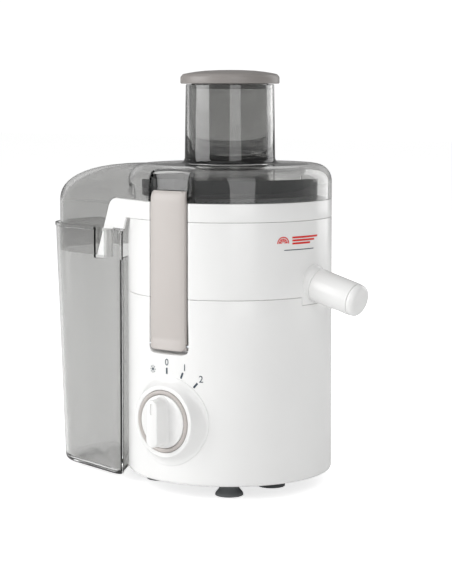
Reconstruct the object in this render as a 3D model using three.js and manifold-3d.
// A centrifugal juicer: a motor housing carries a juice bowl with a spinning sieve basket,
// a smoke-grey lid with a feed tube, a pulp container at its side and two clamps that hold the lid.
// Millimetres, +Z up. The drive axis is vertical. The knob faces -Y, the spout +X, the container -X.
import * as THREE from 'three';
import { mergeVertices } from 'three/addons/utils/BufferGeometryUtils.js';
import Module from 'manifold-3d';

const wasm = await Module();
wasm.setup();

// ---------------------------------------------------------------- driving dimensions

const gap = 0.3;              // left between pieces that touch
const wall = 2.6;             // housing, bowl and collar
const clearWall = 2.4;        // lid, hood and container

const bodyRadius = 92;
const footHeight = 14.2;
const footRadius = 12.6;
const footNeck = 8;
const plateRecess = 1.2;      // the base plate sits this far up inside the housing's lower edge
const housingHeight = 161;
const bowlHeight = 66.7;
const collarHeight = 16.3;
const lidHeight = 31;
const tubeHeight = 71;        // feed tube above the lid
const shoulder = 14.5;        // lid's rounded edge

const tubeRadius = 40.6;
const tubeWall = 2.9;
const tubeDrop = 83;          // feed tube below the lid's top
const pusherGap = 0.5;
const capRadius = 44.7;
const capHeight = 12.6;

const clampWidth = 38.6;
const clampSpare = 1.6;       // between its edge and the channel's side
const clampRecess = 3.3;      // between its foot and the channel's lower end
const clampThick = 4;
const clampProud = 1;         // the clamp's outer face stands this far out of the body
const clampShare = 0.2795;    // how far it hangs down the housing, as a share of the housing's height
const channelSpare = 0.58;    // behind the clamp's edges
const pocketDepth = 8;        // where the clamp's nose hooks on the lid
const ledgeHeight = 5.4;      // above the lid's lower edge

const chuteAngle = 22.2;      // where the chute's side walls leave the round body, degrees from -Y
const chuteRun = 50.7;        // straight run of a side wall
const sideAngle = 13.4;       // how the container's side closes in, degrees
const sideRun = 70;
const hoodReach = 187;        // drive axis to the hood's far end
const hoodInset = 3.2;        // hood inside the container's outline, at the sides
const endInset = 5;           // and at the far end, where the container leans outwards
const containerGap = 5;       // round body to container
const containerAngle = 46.7;  // where the container's front corner lies, degrees from -Y
const cornerRound = 11;       // length of that corner's rounding
const containerTaper = 0.894; // length of its foot against its rim
const containerLift = 5.7;    // its underside above the table
const rimBelowSeam = 28;      // its rim below the lid's lower edge
const innerBelowSeam = 56;    // the rim of its wall beside the body
const skirtDrop = 53.5;       // hood and wings below the lid's lower edge
const wingWidth = 51.4;
const wingLean = 0.387;
const wingLegWidth = 26;
const wingLegLean = 0.5;
const wingCorner = 13;

const spoutTilt = 15;         // degrees below level
const spoutRise = 10.8;       // its axis above the bowl's lower edge, at the wall
const spoutRadius = 14.8;
const spoutBore = 11;
const spoutLength = 50.5;
const spoutStand = 0.37;      // its frame's face out of the wall, at the top edge
const outletRadius = 7;
const outletPlace = 33;
const tabSpare = 2.2;         // the bowl's tab reaches this far past the spout's frame, each side
const tabShort = 7.8;         // and this much less than the spout's radius down the housing

const knobShare = 0.3385;     // its place up the housing, as a share of the housing's height
const bezelRadius = 39.4;
const bezelLip = 30.5;
const bezelHeight = 6;        // its lip above the housing's front
const bezelEdge = 0.8;        // thickness at its outer edge
const ringRadius = 27;
const dialRadius = 23.1;
const gripLength = 41.6;
const gripWidth = 13.2;
const gripHeight = 14;

const shaftRadius = 4;
const couplingRadius = 11;
const statorRadius = 38;
const boreRadius = 24;        // stator's bore
const bracketReach = 44;      // motor bolts from the axis
const basketFloor = 50;       // radius
const basketTop = 76.5;
const basketDepth = 69;
const rimStand = 14;          // the basket's rim band above its mesh

// ---------------------------------------------------------------- heights and places that follow

const rad = THREE.MathUtils.degToRad;
const housingBottom = footHeight - plateRecess;
const bowlSeam = housingBottom + housingHeight;
const collarSeam = bowlSeam + bowlHeight;
const lidSeam = collarSeam + collarHeight;
const lidTop = lidSeam + lidHeight;
const tubeTop = lidTop + tubeHeight;
const tubeFoot = lidTop - tubeDrop;
const deckTop = bowlSeam - 3;
const plateBottom = footHeight + gap;
const plateTop = plateBottom + wall;
const floorTop = bowlSeam + 5.6;
const hubTop = bowlSeam + 16;
const basketBottom = bowlSeam + 16.6;
const rimTop = basketBottom + 2.7 + basketDepth + rimStand;
const innerRadius = bodyRadius - wall;
const channelHalf = clampWidth / 2 + clampSpare;
const pocketFloor = bodyRadius - pocketDepth;
const ledge = lidSeam + ledgeHeight;
const clampOuter = bodyRadius + clampProud;
const clampInner = clampOuter - clampThick;
const channelFloor = Math.sqrt(clampInner ** 2 - (clampWidth / 2) ** 2) - channelSpare;
const clampTop = ledge + 4.6;
const clampFoot = bowlSeam - housingHeight * clampShare;
const hingeHeight = clampFoot + 4;
const hingeDepth = clampInner - 1.5;
const recessFloor = clampFoot - clampRecess;
const pinRadius = 1.6;
const knobHeight = housingBottom + housingHeight * knobShare;
const knobBase = bodyRadius + gap + 0.2;
const spoutBoss = spoutRadius * Math.sin(rad(spoutTilt)) + spoutStand;
const tabHalf = spoutRadius + tabSpare;
const tabDrop = spoutRadius - tabShort;
const plungerHeight = bowlSeam - 14;
const tubeBore = tubeRadius - tubeWall;
const pusherRadius = tubeBore - pusherGap;
const round = 40;             // facets of the largest circles

// ---------------------------------------------------------------- solids

function toSolid(geometry) {
  const bare = geometry.clone();
  bare.deleteAttribute('normal');
  bare.deleteAttribute('uv');
  const merged = mergeVertices(bare, 1e-4);
  const corners = merged.index.array;
  const kept = [];
  for (let i = 0; i < corners.length; i += 3) {
    const [a, b, c] = [corners[i], corners[i + 1], corners[i + 2]];
    if (a !== b && b !== c && c !== a) kept.push(a, b, c);
  }
  return new wasm.Manifold(new wasm.Mesh({
    numProp: 3,
    vertProperties: Float32Array.from(merged.attributes.position.array),
    triVerts: Uint32Array.from(kept),
  }));
}

function toGeometry(solid) {
  const mesh = solid.getMesh();
  const geometry = new THREE.BufferGeometry();
  geometry.setAttribute('position', new THREE.BufferAttribute(mesh.vertProperties, 3));
  geometry.setIndex(new THREE.BufferAttribute(mesh.triVerts, 1));
  return geometry;
}

const join = (...all) => toGeometry(all.map(toSolid).reduce((a, b) => a.add(b)));
const cut = (from, ...tools) =>
  toGeometry(tools.map(toSolid).reduce((a, b) => a.subtract(b), toSolid(from)));
const common = (a, b) => toGeometry(toSolid(a).intersect(toSolid(b)));

// A turned solid about Z. The profile runs anticlockwise in (radius, height).
function turned(profile, facets = round) {
  const points = profile.map(([r, z]) => new THREE.Vector2(r, z));
  if (profile[0][0] > 0 || profile.at(-1)[0] > 0) points.push(points[0].clone());
  return new THREE.LatheGeometry(points, facets).rotateX(Math.PI / 2);
}

const disc = (radius, low, high, facets = round) =>
  turned([[0, low], [radius, low], [radius, high], [0, high]], facets);

const ring = (inner, outer, low, high, facets = round) =>
  turned([[inner, low], [outer, low], [outer, high], [inner, high]], facets);

function block(x0, x1, y0, y1, z0, z1) {
  return new THREE.BoxGeometry(x1 - x0, y1 - y0, z1 - z0)
    .translate((x0 + x1) / 2, (y0 + y1) / 2, (z0 + z1) / 2);
}

function prism(shape, low, high, curveSegments = 12) {
  return new THREE.ExtrudeGeometry(shape, { depth: high - low, bevelEnabled: false, curveSegments })
    .translate(0, 0, low);
}

// A solid of an outline drawn in (x, z), running from -half to half along Y.
function sidePrism(shape, half) {
  return prism(shape, -half, half).rotateX(Math.PI / 2);
}

const alongFront = (geometry) => geometry.rotateX(Math.PI / 2);
const mirrored = (geometry) => geometry.clone().rotateZ(Math.PI);

// Points of a quarter round from (r0, z0) to (r1, z1), bulging towards (r0, z1).
function quarter(r0, z0, r1, z1, steps) {
  const arc = [];
  for (let i = 0; i <= steps; i += 1) {
    const t = (Math.PI / 2) * (i / steps);
    arc.push([r1 + (r0 - r1) * Math.cos(t), z0 + (z1 - z0) * Math.sin(t)]);
  }
  return arc;
}

// ---------------------------------------------------------------- outlines of the chute and container

const fromFront = (radius, degrees) =>
  new THREE.Vector2(-radius * Math.sin(rad(degrees)), -radius * Math.cos(rad(degrees)));

// The chute's outline beside the round body, moved out by offset: start, bend, side end, far end.
function chutePoints(offset) {
  const first = fromFront(1, chuteAngle);
  const second = fromFront(1, sideAngle);
  const start = first.clone().multiplyScalar(bodyRadius + offset);
  const along = new THREE.Vector2(first.y, -first.x);
  const bend = first.clone().multiplyScalar(bodyRadius).addScaledVector(along, chuteRun)
    .addScaledVector(first.clone().add(second), offset / (1 + first.dot(second)));
  const side = new THREE.Vector2(second.y, -second.x);
  const sideEnd = bend.clone().addScaledVector(side, sideRun);
  return { start, bend, side, sideEnd, reach: -(hoodReach + offset) };
}

function farEnd(shape, { side, sideEnd, reach }) {
  const lead = (reach - sideEnd.x) * -0.6;
  const turn = sideEnd.y * 0.5;
  shape.bezierCurveTo(sideEnd.x + side.x * lead, sideEnd.y + side.y * lead, reach, turn, reach, 0);
  shape.bezierCurveTo(reach, -turn, sideEnd.x + side.x * lead, -(sideEnd.y + side.y * lead),
    sideEnd.x, -sideEnd.y);
}

function hoodOutline(offset) {
  const points = chutePoints(offset);
  const shape = new THREE.Shape();
  shape.moveTo(points.start.x, points.start.y);
  shape.lineTo(points.bend.x, points.bend.y);
  shape.lineTo(points.sideEnd.x, points.sideEnd.y);
  farEnd(shape, points);
  shape.lineTo(points.bend.x, -points.bend.y);
  shape.lineTo(points.start.x, -points.start.y);
  return shape;
}

function containerOutline(offset) {
  const points = chutePoints(hoodInset + offset);
  points.reach = -(hoodReach + endInset + offset);
  const inset = -offset;
  const turn = THREE.MathUtils.radToDeg(inset / bodyRadius) * 1.6;
  const corner = fromFront(bodyRadius + containerGap + inset, containerAngle + turn);
  const onSide = (x) => points.bend.y + (points.bend.x - x) * Math.tan(rad(sideAngle));
  const shape = new THREE.Shape();
  const roundEnd = corner.x - cornerRound;
  shape.moveTo(corner.x, corner.y);
  shape.quadraticCurveTo(corner.x - 2, onSide(corner.x - 2), roundEnd, onSide(roundEnd));
  shape.lineTo(points.sideEnd.x, points.sideEnd.y);
  farEnd(shape, points);
  shape.lineTo(roundEnd, -onSide(roundEnd));
  shape.quadraticCurveTo(corner.x - 2, -onSide(corner.x - 2), corner.x, -corner.y);
  return shape;
}

// A closed stack of the outline's copies, each at its own height and scale.
function loft(shape, levels, curveSegments = 5) {
  const outline = shape.getPoints(curveSegments);
  if (outline[0].distanceTo(outline.at(-1)) < 1e-6) outline.pop();
  if (THREE.ShapeUtils.isClockWise(outline)) outline.reverse();
  const count = outline.length;
  const positions = levels.flatMap(([z, scale]) =>
    outline.flatMap((point) => [point.x * scale, point.y * scale, z]));
  const faces = [];
  for (let level = 0; level + 1 < levels.length; level += 1) {
    for (let i = 0; i < count; i += 1) {
      const [a, b] = [level * count + i, level * count + (i + 1) % count];
      faces.push(a, b, b + count, a, b + count, a + count);
    }
  }
  const top = (levels.length - 1) * count;
  for (const [a, b, c] of THREE.ShapeUtils.triangulateShape(outline, [])) {
    faces.push(a, c, b, top + a, top + b, top + c);
  }
  const geometry = new THREE.BufferGeometry();
  geometry.setAttribute('position', new THREE.Float32BufferAttribute(positions, 3));
  geometry.setIndex(faces);
  return geometry;
}

// The wing's outline from the side, grown by spare: it is also where the hood's skirt stops.
function wingEdge(spare, low) {
  const cornerX = chutePoints(0).start.x - wingWidth - spare;
  const top = lidSeam + spare;
  const run = wingCorner * 0.69;
  const edgeX = (z) => cornerX - (top - z) * wingLean;
  const shape = new THREE.Shape();
  shape.moveTo(0, low);
  shape.lineTo(0, top);
  shape.lineTo(cornerX + run, top);
  shape.quadraticCurveTo(cornerX, top, edgeX(top - run), top - run);
  shape.lineTo(edgeX(lidSeam - skirtDrop), lidSeam - skirtDrop);
  return { shape, cornerX };
}

// ---------------------------------------------------------------- base

// The channel that a side clamp lies in, at the front. Its walls keep the shell closed.
const channelBlock = (low, high) =>
  block(-channelHalf - wall, channelHalf + wall, -bodyRadius + 1.2, -channelFloor + wall, low, high);
const channelCut = (low, high) =>
  block(-channelHalf, channelHalf, -bodyRadius - 9, -channelFloor, low, high);

function motorHousing() {
  const shell = turned([
    [innerRadius, housingBottom], [bodyRadius, housingBottom], [bodyRadius, bowlSeam - gap],
    [innerRadius, bowlSeam - gap], [innerRadius, deckTop], [12, deckTop], [12, deckTop - wall],
    [innerRadius, deckTop - wall],
  ]);
  const deepLow = recessFloor - wall;
  const hingeBox = block(-channelHalf - wall, channelHalf + wall, -bodyRadius + 1.2,
    -hingeDepth + 11, deepLow, hingeHeight + 11);
  const hingeCut = block(-channelHalf, channelHalf, -bodyRadius - 9, -hingeDepth + 8.4,
    recessFloor, hingeHeight + 8.4);
  const sides = [channelBlock(hingeHeight, bowlSeam - gap), hingeBox];
  const cuts = [channelCut(hingeHeight, bowlSeam + 1), hingeCut];
  const pinHole = disc(pinRadius + gap, -channelHalf - 1.8, channelHalf + 1.8, 16)
    .rotateY(Math.PI / 2).translate(0, -hingeDepth, hingeHeight);
  const posts = screwPlaces.map(([x, y]) =>
    disc(4, plateTop + gap, deckTop - wall / 2, 8).translate(x, y, 0));
  const postHoles = screwPlaces.map(([x, y]) =>
    disc(1.7, plateTop, plateTop + 14, 8).translate(x, y, 0));
  const tabNotch = block(innerRadius - 3, bodyRadius + 3, -tabHalf - gap, tabHalf + gap,
    bowlSeam - tabDrop - gap, bowlSeam + 1);
  const shaftHole = alongFront(disc(4, innerRadius - 6, bodyRadius + 4, 20))
    .translate(0, 0, knobHeight);
  const plungerHole = alongFront(disc(3.4, channelFloor - 8, bodyRadius, 16))
    .translate(0, 0, plungerHeight);
  const glandHole = alongFront(disc(6, -bodyRadius - 4, -innerRadius + 4, 20))
    .translate(0, 0, plateTop + 16);
  const whole = join(shell, ...posts, ...sides, ...sides.map(mirrored));
  return cut(whole, ...cuts, ...cuts.map(mirrored), pinHole, mirrored(pinHole), ...postHoles,
    tabNotch, shaftHole, plungerHole, glandHole);
}

function basePlate() {
  const plate = disc(innerRadius - gap - 0.2, plateBottom, plateTop);
  const vents = [];
  for (let i = 0; i < 7; i += 1) {
    const half = 26 - Math.abs(i - 3) * 3;
    vents.push(block(-24 + i * 7, -21 + i * 7, -half, half, plateBottom - 1, plateTop + 1)
      .translate(-9, 0, 0));
  }
  const holes = screwPlaces.map(([x, y]) =>
    disc(1.7, plateBottom - 1, plateTop + 1, 8).translate(x, y, 0));
  return cut(plate, ...vents, ...holes);
}

function foot() {
  return turned([
    [0, 0], [footRadius - 1, 0], [footRadius, 1], [footRadius - 0.6, 2.6],
    [footNeck, footHeight / 2], [footNeck, footHeight], [0, footHeight],
  ], 12);
}

function screw() {
  return turned([
    [0, -2.2], [3.4, -2.2], [3.4, 0], [1.4, 0], [1.4, 13], [0, 13],
  ], 8);
}

// ---------------------------------------------------------------- bowl and collar

const spoutFrame = new THREE.Matrix4()
  .makeRotationY(rad(90 + spoutTilt))
  .setPosition(bodyRadius, 0, bowlSeam + spoutRise);
const onSpout = (geometry) => geometry.applyMatrix4(spoutFrame);

function juiceBowl() {
  const shell = turned([
    [17.4, bowlSeam + 3], [innerRadius, bowlSeam + 3], [innerRadius, bowlSeam],
    [bodyRadius, bowlSeam], [bodyRadius, collarSeam - gap], [innerRadius, collarSeam - gap],
    [innerRadius, floorTop + 1], [innerRadius - 4, floorTop], [17.4, floorTop], [17.4, hubTop],
    [15, hubTop], [15, bowlSeam + 3],
  ]);
  const tab = common(ring(innerRadius, bodyRadius, bowlSeam - tabDrop, bowlSeam + 6),
    block(0, bodyRadius + 1, -tabHalf, tabHalf, bowlSeam - tabDrop, bowlSeam + 6));
  const boss = onSpout(disc(spoutRadius, -4, spoutBoss, 24));
  const spigot = onSpout(disc(spoutBore - gap, -4, spoutBoss + 7, 16));
  const bossOutside = cut(join(boss, spigot), disc(innerRadius, 0, lidTop));
  const drain = onSpout(disc(spoutBore - 2.4, -14, spoutBoss + 8, 16));
  const sides = channelBlock(bowlSeam, collarSeam - gap);
  const channel = channelCut(bowlSeam - 1, collarSeam + 1);
  return cut(join(shell, tab, bossOutside, sides, mirrored(sides)),
    channel, mirrored(channel), drain);
}

function pulpCollar() {
  const top = lidSeam - gap;
  const rail = turned([
    [74.5, collarSeam], [bodyRadius, collarSeam], [bodyRadius, top], [innerRadius, top],
    [innerRadius, collarSeam + wall], [76.5, collarSeam + wall], [76.5, collarSeam + 6],
    [74.5, collarSeam + 6],
  ]);
  const outline = prism(hoodOutline(0), lidSeam - skirtDrop, top);
  const inside = prism(hoodOutline(-clearWall), collarSeam + wall, lidSeam + 1);
  const insideLow = prism(hoodOutline(-clearWall), 0, lidSeam + 1);
  const { start } = chutePoints(0);
  const { shape, cornerX } = wingEdge(0, collarSeam);
  const legX = (z) => cornerX + wingLegWidth - (collarSeam - z) * wingLegLean;
  const rim = lidSeam - rimBelowSeam;
  const legInner = fromFront(bodyRadius + containerGap, containerAngle).x - cornerRound - 1;
  shape.lineTo(legInner, lidSeam - skirtDrop);
  shape.lineTo(legInner, rim + 1);
  shape.lineTo(legX(rim + 1), rim + 1);
  shape.lineTo(legX(collarSeam), collarSeam);
  const wings = common(cut(outline, insideLow), sidePrism(shape, bodyRadius * 2));
  const seat = common(cut(prism(hoodOutline(0), collarSeam, collarSeam + wall),
    disc(bodyRadius - 1, 0, lidTop)),
  block(legX(collarSeam), start.x + 12, -bodyRadius, bodyRadius, 0, lidTop));
  const sides = channelBlock(collarSeam, top);
  const channel = channelCut(collarSeam - 1, top + 1);
  const opened = cut(rail, common(inside, block(-bodyRadius * 2, start.x, -bodyRadius, bodyRadius,
    0, lidTop)));
  return cut(join(opened, wings, seat, sides, mirrored(sides)), channel, mirrored(channel));
}

// ---------------------------------------------------------------- lid, pusher, container

function lidAndHood() {
  const outer = turned([
    [0, lidSeam], [bodyRadius, lidSeam],
    ...quarter(bodyRadius, lidTop - shoulder, bodyRadius - shoulder, lidTop, 3), [0, lidTop],
  ]);
  const inner = turned([
    [0, lidSeam - 20], [bodyRadius - clearWall, lidSeam - 20],
    ...quarter(bodyRadius - clearWall, lidTop - shoulder, bodyRadius - shoulder,
      lidTop - clearWall, 3), [0, lidTop - clearWall],
  ]);
  const crown = lidTop - 2;
  const domeAt = (top) => [
    [top - 36, 1], [top - 25, 0.985], [top - 16, 0.943], [top - 9, 0.88], [top - 3, 0.72],
    [top, 0.48],
  ];
  const hood = loft(hoodOutline(0), [[lidSeam - skirtDrop, 1], ...domeAt(crown)]);
  const hollow = loft(hoodOutline(-clearWall),
    [[lidSeam - skirtDrop - 5, 1], ...domeAt(crown - clearWall)]);
  const { shape } = wingEdge(gap, 0);
  shape.lineTo(-bodyRadius * 1.35, 0);
  const belowSeam = sidePrism(shape, bodyRadius * 2);
  const bodySide = block(0, bodyRadius * 2, -bodyRadius * 2, bodyRadius * 2, 0, lidSeam + gap);
  const pocket = common(outer, block(-channelHalf - clearWall, channelHalf + clearWall,
    -bodyRadius, -pocketFloor + clearWall - 0.4, lidSeam, lidTop));
  const cuts = [
    block(-channelHalf, channelHalf, -bodyRadius - 5, -channelFloor, lidSeam - 1, ledge + 1),
    block(-channelHalf, channelHalf, -bodyRadius - 5, -pocketFloor, ledge, lidTop + 5),
  ];
  const lower = lidTop - clearWall / 2;
  const tube = join(ring(tubeBore, tubeRadius, tubeFoot, lower),
    turned([[tubeBore, lower], [tubeRadius + 3, lower], [tubeRadius + 0.8, lidTop + 2.4],
      [tubeRadius - 0.7, tubeTop], [tubeBore, tubeTop]]));
  const cover = cut(join(outer, hood), inner, hollow);
  const closed = join(cover, pocket, mirrored(pocket), tube);
  return cut(closed, belowSeam, bodySide, disc(tubeBore, tubeFoot - 1, tubeTop + 1),
    ...cuts, ...cuts.map(mirrored));
}

function pusherBody() {
  const low = tubeFoot + 2;
  const high = tubeTop - gap;
  return turned([
    [0, low], [pusherRadius, low], [pusherRadius, high], [pusherRadius - 2.2, high],
    [pusherRadius - 2.2, low + 2.5], [0, low + 2.5],
  ], 32);
}

function pusherCap() {
  const low = tubeTop + 0.6;
  const high = tubeTop + 0.4 + capHeight;
  return turned([
    [0, low - 5], [pusherRadius - 2.6, low - 5], [pusherRadius - 2.6, low], [capRadius, low],
    [capRadius, low + 5.8], [capRadius - 1.2, low + 7.6], [capRadius - 5, low + 9.2],
    [capRadius * 0.5, high - 0.6], [0, high],
  ], 32);
}

function pulpContainer() {
  const rim = lidSeam - rimBelowSeam;
  const height = rim - containerLift;
  const pivot = fromFront(bodyRadius + containerGap, containerAngle).x;
  const outer = prism(containerOutline(0), containerLift, rim, 10);
  const inner = prism(containerOutline(-clearWall), containerLift + 3, rim + 2, 10);
  for (const piece of [outer, inner]) {
    const place = piece.attributes.position;
    for (let i = 0; i < place.count; i += 1) {
      const share = containerTaper + (1 - containerTaper) * ((place.getZ(i) - containerLift) / height);
      place.setX(i, pivot + (place.getX(i) - pivot) * share);
    }
  }
  const nearBody = disc(bodyRadius + containerGap, -1, rim + 3);
  const insideNear = disc(bodyRadius + containerGap + clearWall, -1, rim + 3);
  const hoodSide = -chutePoints(0).bend.y;
  const innerRim = block(-bodyRadius - 16, 0, -hoodSide, hoodSide, lidSeam - innerBelowSeam,
    rim + 1);
  return cut(cut(outer, nearBody), cut(inner, insideNear), innerRim);
}

// ---------------------------------------------------------------- clamps

// The front clamp about its hinge: the hinge axis is the mesh's own X axis.
function sideClamp() {
  const arc = common(ring(clampInner, clampOuter, clampFoot, clampTop, 72),
    block(-clampWidth / 2, clampWidth / 2, -clampOuter - 1, 0, clampFoot, clampTop));
  const noseShape = new THREE.Shape();
  const tip = pocketFloor + gap;
  noseShape.moveTo(-clampInner - 0.8, ledge + gap);
  noseShape.lineTo(-channelFloor - gap, ledge + gap);
  noseShape.lineTo(-tip, ledge + gap + 1.4);
  noseShape.lineTo(-tip, clampTop);
  noseShape.lineTo(-clampInner - 0.8, clampTop);
  const nose = prism(noseShape, -15, 15).rotateX(Math.PI / 2).rotateZ(Math.PI / 2);
  const barrel = disc(3.2, -clampWidth / 2, clampWidth / 2, 20).rotateY(Math.PI / 2)
    .translate(0, -hingeDepth, hingeHeight);
  const pinHole = disc(pinRadius + gap / 2, -clampWidth, clampWidth, 16).rotateY(Math.PI / 2)
    .translate(0, -hingeDepth, hingeHeight);
  return cut(join(arc, nose, barrel), pinHole).translate(0, hingeDepth, -hingeHeight);
}

const clampPin = () => disc(pinRadius, -channelHalf - 1.5, channelHalf + 1.5, 16).rotateY(Math.PI / 2);

// ---------------------------------------------------------------- spout (its own Z runs along its axis)

function spout() {
  const body = turned([
    [spoutBore, spoutBoss + gap], [spoutRadius, spoutBoss + gap],
    [spoutRadius - 0.4, spoutLength - 7.5], [spoutBore, spoutLength - 7.5],
  ], 24);
  const outlet = disc(outletRadius, 0, spoutRadius + 2, 16).rotateY(Math.PI / 2)
    .translate(0, 0, outletPlace);
  return cut(body, outlet);
}

function spoutEndCap() {
  const low = spoutLength - 7.5 + gap;
  return turned([
    [0, low - 1.6], [spoutBore - gap, low - 1.6], [spoutBore - gap, low], [spoutRadius - 0.8, low],
    [spoutRadius - 0.9, spoutLength - 3.6], [spoutRadius - 3.5, spoutLength - 1.2],
    [0, spoutLength],
  ], 24);
}

// ---------------------------------------------------------------- knob (turned pieces face -Y)

// The bezel's foot follows the round housing, and its lip is flat: one section for each angle.
function dialBezel() {
  const facets = 40;
  const bore = ringRadius + gap;
  const lip = bodyRadius + bezelHeight;
  const onBody = (radius, turn) => Math.sqrt((bodyRadius + gap) ** 2 - (radius * Math.cos(turn)) ** 2);
  const positions = [];
  const faces = [];
  for (let i = 0; i < facets; i += 1) {
    const turn = (i / facets) * Math.PI * 2;
    const flank = bezelLip + (bezelRadius - bezelLip) * 0.3;
    const foot = onBody(bezelRadius, turn);
    const section = [
      [bore, onBody(bore, turn)], [bezelRadius, foot], [bezelRadius, foot + bezelEdge],
      [flank, THREE.MathUtils.lerp(foot, lip, 0.4)], [bezelLip, lip], [bore, lip],
    ];
    section.forEach(([radius, depth], j) => {
      positions.push(radius * Math.cos(turn), -depth, radius * Math.sin(turn));
      const count = section.length;
      const here = i * count;
      const next = ((i + 1) % facets) * count;
      const k = (j + 1) % count;
      faces.push(here + j, next + k, here + k, here + j, next + j, next + k);
    });
  }
  const geometry = new THREE.BufferGeometry();
  geometry.setAttribute('position', new THREE.Float32BufferAttribute(positions, 3));
  geometry.setIndex(faces);
  return geometry;
}

const dialRing = () => alongFront(ring(dialRadius + gap, ringRadius, knobBase,
  bodyRadius + bezelHeight + 1, 40));

function controlKnob() {
  const face = bodyRadius + bezelHeight + 1.5;
  const grip = new THREE.Shape();
  const half = gripWidth / 2;
  const straight = gripLength / 2 - half;
  grip.moveTo(half, -straight);
  grip.lineTo(half, straight);
  grip.absarc(0, straight, half, 0, Math.PI, false);
  grip.lineTo(-half, -straight);
  grip.absarc(0, -straight, half, Math.PI, Math.PI * 2, false);
  const bar = prism(grip, face - 2, face + gripHeight, 8);
  const slot = block(-1.8, 1.8, straight - 5, straight + 5, face + gripHeight - 2,
    face + gripHeight + 2);
  const dial = disc(dialRadius, knobBase, face, 36);
  const socket = disc(3, knobBase - 1, knobBase + 4, 16);
  return alongFront(cut(join(dial, bar), slot, socket));
}

const knobShaft = () => alongFront(disc(2.7, bodyRadius - 33.6, bodyRadius + 4, 16));
const rotarySwitch = () => block(-14, 14, -bodyRadius + 34, -bodyRadius + 48, -14, 14);

// ---------------------------------------------------------------- motor

const motorLow = plateTop + 11;      // underside of the lower bracket's bar
const statorLow = plateTop + 35;
const statorHigh = statorLow + 42;
const motorHigh = statorHigh + 26;   // underside of the upper bracket's bar
const shaftLow = motorLow - 5;

function motorBracket(low) {
  const bar = block(-bracketReach - 7, bracketReach + 7, -9, 9, low, low + 4);
  const boss = disc(12, low - 2, low + 6, 16);
  const holes = [-1, 1].map((side) => disc(2.7, low - 9, low + 9, 12)
    .translate(side * bracketReach, 0, 0));
  return cut(join(bar, boss), disc(8 + gap, low - 9, low + 9, 16), ...holes);
}

const bearing = (low) => ring(shaftRadius + gap, 8, low - 2, low + 6, 16);
const motorBolt = () => join(disc(2.4, motorLow - 3, motorHigh + 7, 12),
  disc(4.5, motorLow + 4 + gap, motorHigh - gap, 12));
const motorDamper = () => ring(2.7, 7, plateTop + gap, motorLow - gap, 20);

function sector(inner, outer, half, low, high) {
  const shape = new THREE.Shape();
  shape.absarc(0, 0, outer, rad(90 - half), rad(90 + half), false);
  shape.absarc(0, 0, inner, rad(90 + half), rad(90 - half), true);
  return prism(shape, low, high, 8);
}

function statorCore() {
  const slot = sector(boreRadius - 2, 30 + gap, 52, statorLow - 1, statorHigh + 1);
  return cut(ring(boreRadius, statorRadius, statorLow, statorHigh, 24), slot, mirrored(slot));
}

const fieldCoil = () => sector(boreRadius + 0.5, 30, 50, statorLow - 6, statorHigh + 6);
const rotorCore = () =>
  ring(shaftRadius + gap / 2, boreRadius - 1, statorLow - 2, statorHigh + 2, 24);
const commutator = () => ring(shaftRadius + gap / 2, 11, statorHigh + 9, statorHigh + 20, 16);

function brushHolder() {
  const low = statorHigh + 10;
  return join(block(11.7, 26, -5, 5, low, low + 8), block(20, 26, -5, 5, low, motorHigh - gap));
}

const rotorShaft = () => disc(shaftRadius, shaftLow, hubTop - 6, 16);

function coolingFan() {
  const low = motorLow + 8;
  const high = low + 9;         // a millimetre under the field coils
  const blades = [];
  for (let i = 0; i < 9; i += 1) {
    blades.push(block(10, 35, -0.8, 0.8, low + 1, high).rotateZ((i / 9) * Math.PI * 2));
  }
  return cut(join(disc(36, low, low + 2, 24), disc(11, low, high, 16), ...blades),
    disc(shaftRadius + gap / 2, low - 1, high + 1, 16));
}

const shaftSeal = () => ring(shaftRadius + gap, 12 - gap, deckTop - wall, deckTop, 24);

function driveCoupling() {
  return cut(disc(couplingRadius, bowlSeam + 0.5, hubTop - 4, 6),
    disc(shaftRadius + gap / 2, bowlSeam - 1, hubTop - 6 + gap, 16));
}

// ---------------------------------------------------------------- basket

function basketHub() {
  const low = basketBottom;
  const plate = disc(basketFloor, low, low + 2.4);
  const socket = disc(14, bowlSeam + 6, low + 1, 20);
  const skirt = ring(20, 22, bowlSeam + 9, low + 1, 24);
  const drive = disc(couplingRadius + 0.4, bowlSeam, hubTop - 4 + gap, 6);
  return cut(join(plate, socket, skirt), drive);
}

function graterDisc() {
  const low = basketBottom + 2.4 + gap;
  const teeth = [];
  for (let i = 0; i < 12; i += 1) {
    teeth.push(new THREE.ConeGeometry(1.6, 2.6, 4).rotateX(Math.PI / 2)
      .translate(16 + (i % 3) * 9, 0, low + 2.2).rotateZ((i / 12) * Math.PI * 2));
  }
  return join(disc(basketFloor - 4, low, low + 1.5, 32), ...teeth);
}

function sieveBasket() {
  const low = basketBottom + 2.4 + gap;
  const high = low + basketDepth;
  return turned([
    [basketFloor - 3.4, low], [basketFloor, low], [basketTop, high], [basketTop - 1.4, high],
    [basketFloor - 1.2, low + 1.4], [basketFloor - 3.4, low + 1.4],
  ]);
}

function basketRim() {
  const low = basketBottom + 2.4 + gap + basketDepth - 2;
  return turned([
    [basketTop + gap, low], [basketTop + 3, low], [basketTop + 3, rimTop],
    [basketTop - 1, rimTop], [basketTop + gap, rimTop - 1.6],
  ]);
}

// ---------------------------------------------------------------- small electrical pieces

function interlockPlunger() {
  return alongFront(join(disc(3, bodyRadius - 22, clampInner - gap, 16),
    disc(5, bodyRadius - 22, bodyRadius - 20, 16)));
}

const interlockSwitch = () => block(-8, 8, -bodyRadius + 23, -bodyRadius + 36, -8, 8);
const capacitor = () => block(-11, 11, -6, 6, plateTop + gap, plateTop + 18);

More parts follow.
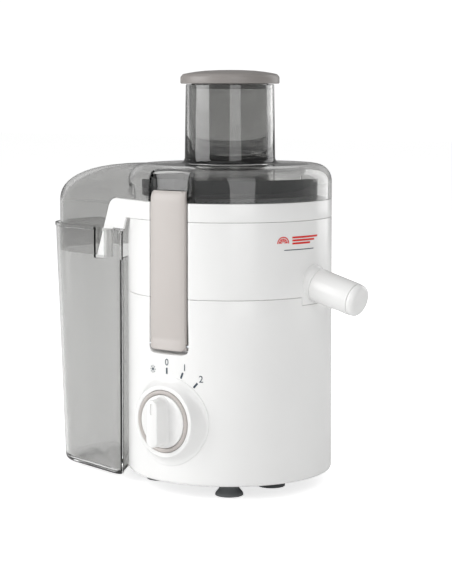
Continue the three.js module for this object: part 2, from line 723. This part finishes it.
function cableGland() {
  return alongFront(turned([
    [3.2, -bodyRadius - 3.6], [6.5, -bodyRadius - 3.6], [8.4, -bodyRadius - 2.2],
    [8.4, -bodyRadius - gap], [5.7, -bodyRadius - gap], [5.7, -innerRadius + 5],
    [3.2, -innerRadius + 5],
  ], 16));
}

// ---------------------------------------------------------------- materials and assembly

const finish = (color, roughness, metalness = 0) =>
  () => new THREE.MeshStandardMaterial({ color, roughness, metalness });
const white = finish(0xf4f4f4, 0.22);
const greige = finish(0xcdc7c1, 0.35);
const capGrey = finish(0xa5a09c, 0.35);
const rubber = finish(0x4a4c4b, 0.7);
const steel = finish(0xb8bcc0, 0.3, 1);
const iron = finish(0x6b6e72, 0.5, 0.8);
const copper = finish(0xb5693a, 0.35, 1);
const darkPlastic = finish(0x2a2c2e, 0.5);
const smoke = () => new THREE.MeshStandardMaterial({
  color: 0x8a8d8f, roughness: 0.08, transparent: true, opacity: 0.45,
});

const screwPlaces = [[58, -50], [58, 50], [-58, 50], [-58, -50]];
const footPlaces = {
  foot_front: [37, -51],
  foot_right: [46, 0],
  foot_rear: [37, 51],
  foot_left_front: [-52, -36],
  foot_left_rear: [-52, 36],
};

const juicer = new THREE.Group();

function place(name, geometry, material, x = 0, y = 0, z = 0) {
  const mesh = new THREE.Mesh(geometry, material());
  mesh.name = name;
  mesh.position.set(x, y, z);
  juicer.add(mesh);
  return mesh;
}

place('motor_housing', motorHousing(), white);
place('base_plate', basePlate(), darkPlastic);
for (const [name, [x, y]] of Object.entries(footPlaces)) place(name, foot(), rubber, x, y);
screwPlaces.forEach(([x, y], i) => place(`base_screw_${i + 1}`, screw(), steel, x, y,
  plateBottom - gap));
place('cable_gland', cableGland(), rubber, 0, 0, plateTop + 16);

place('juice_bowl', juiceBowl(), white);
place('pulp_collar', pulpCollar(), white);
place('lid_and_hood', lidAndHood(), smoke);
place('pusher_body', pusherBody(), smoke);
place('pusher_cap', pusherCap(), capGrey);
place('pulp_container', pulpContainer(), smoke);

place('clamp_front', sideClamp(), greige, 0, -hingeDepth, hingeHeight);
place('clamp_rear', sideClamp(), greige, 0, hingeDepth, hingeHeight).rotation.z = Math.PI;
place('clamp_pin_front', clampPin(), steel, 0, -hingeDepth, hingeHeight);
place('clamp_pin_rear', clampPin(), steel, 0, hingeDepth, hingeHeight);

const spoutGroup = new THREE.Group();
spoutGroup.applyMatrix4(spoutFrame);
juicer.add(spoutGroup);
spoutGroup.add(place('spout', spout(), white), place('spout_end_cap', spoutEndCap(), white));

place('dial_bezel', dialBezel(), white, 0, 0, knobHeight);
place('dial_ring', dialRing(), greige, 0, 0, knobHeight);
place('control_knob', controlKnob(), white, 0, 0, knobHeight);
place('knob_shaft', knobShaft(), darkPlastic, 0, 0, knobHeight);
place('rotary_switch', rotarySwitch(), darkPlastic, 0, 0, knobHeight);

place('bracket_lower', motorBracket(motorLow), iron);
place('bracket_upper', motorBracket(motorHigh), iron);
place('bearing_lower', bearing(motorLow), steel);
place('bearing_upper', bearing(motorHigh), steel);
for (const [name, side] of [['left', -1], ['right', 1]]) {
  place(`motor_bolt_${name}`, motorBolt(), steel, side * bracketReach);
  place(`motor_damper_${name}`, motorDamper(), rubber, side * bracketReach);
}
place('brush_holder_right', brushHolder(), darkPlastic);
place('brush_holder_left', brushHolder(), darkPlastic).rotation.z = Math.PI;
place('stator_core', statorCore(), iron);
place('field_coil_rear', fieldCoil(), copper);
place('field_coil_front', fieldCoil(), copper).rotation.z = Math.PI;
place('rotor_core', rotorCore(), iron);
place('commutator', commutator(), copper);
place('rotor_shaft', rotorShaft(), steel);
place('cooling_fan', coolingFan(), darkPlastic);
place('shaft_seal', shaftSeal(), rubber);
place('drive_coupling', driveCoupling(), darkPlastic);

place('basket_hub', basketHub(), darkPlastic);
place('grater_disc', graterDisc(), steel);
place('sieve_basket', sieveBasket(), steel);
place('basket_rim', basketRim(), darkPlastic);

place('interlock_plunger', interlockPlunger(), capGrey, 0, 0, plungerHeight);
place('interlock_switch', interlockSwitch(), darkPlastic, 0, 0, plungerHeight);
place('capacitor', capacitor(), darkPlastic, 30, 62);

// The origin is the middle of the underside of the whole juicer's box.
juicer.updateMatrixWorld(true);
const box = new THREE.Box3().setFromObject(juicer, true);
juicer.position.set(-(box.min.x + box.max.x) / 2, -(box.min.y + box.max.y) / 2, -box.min.z);

const part = new THREE.Group();
part.add(juicer);
export default part;
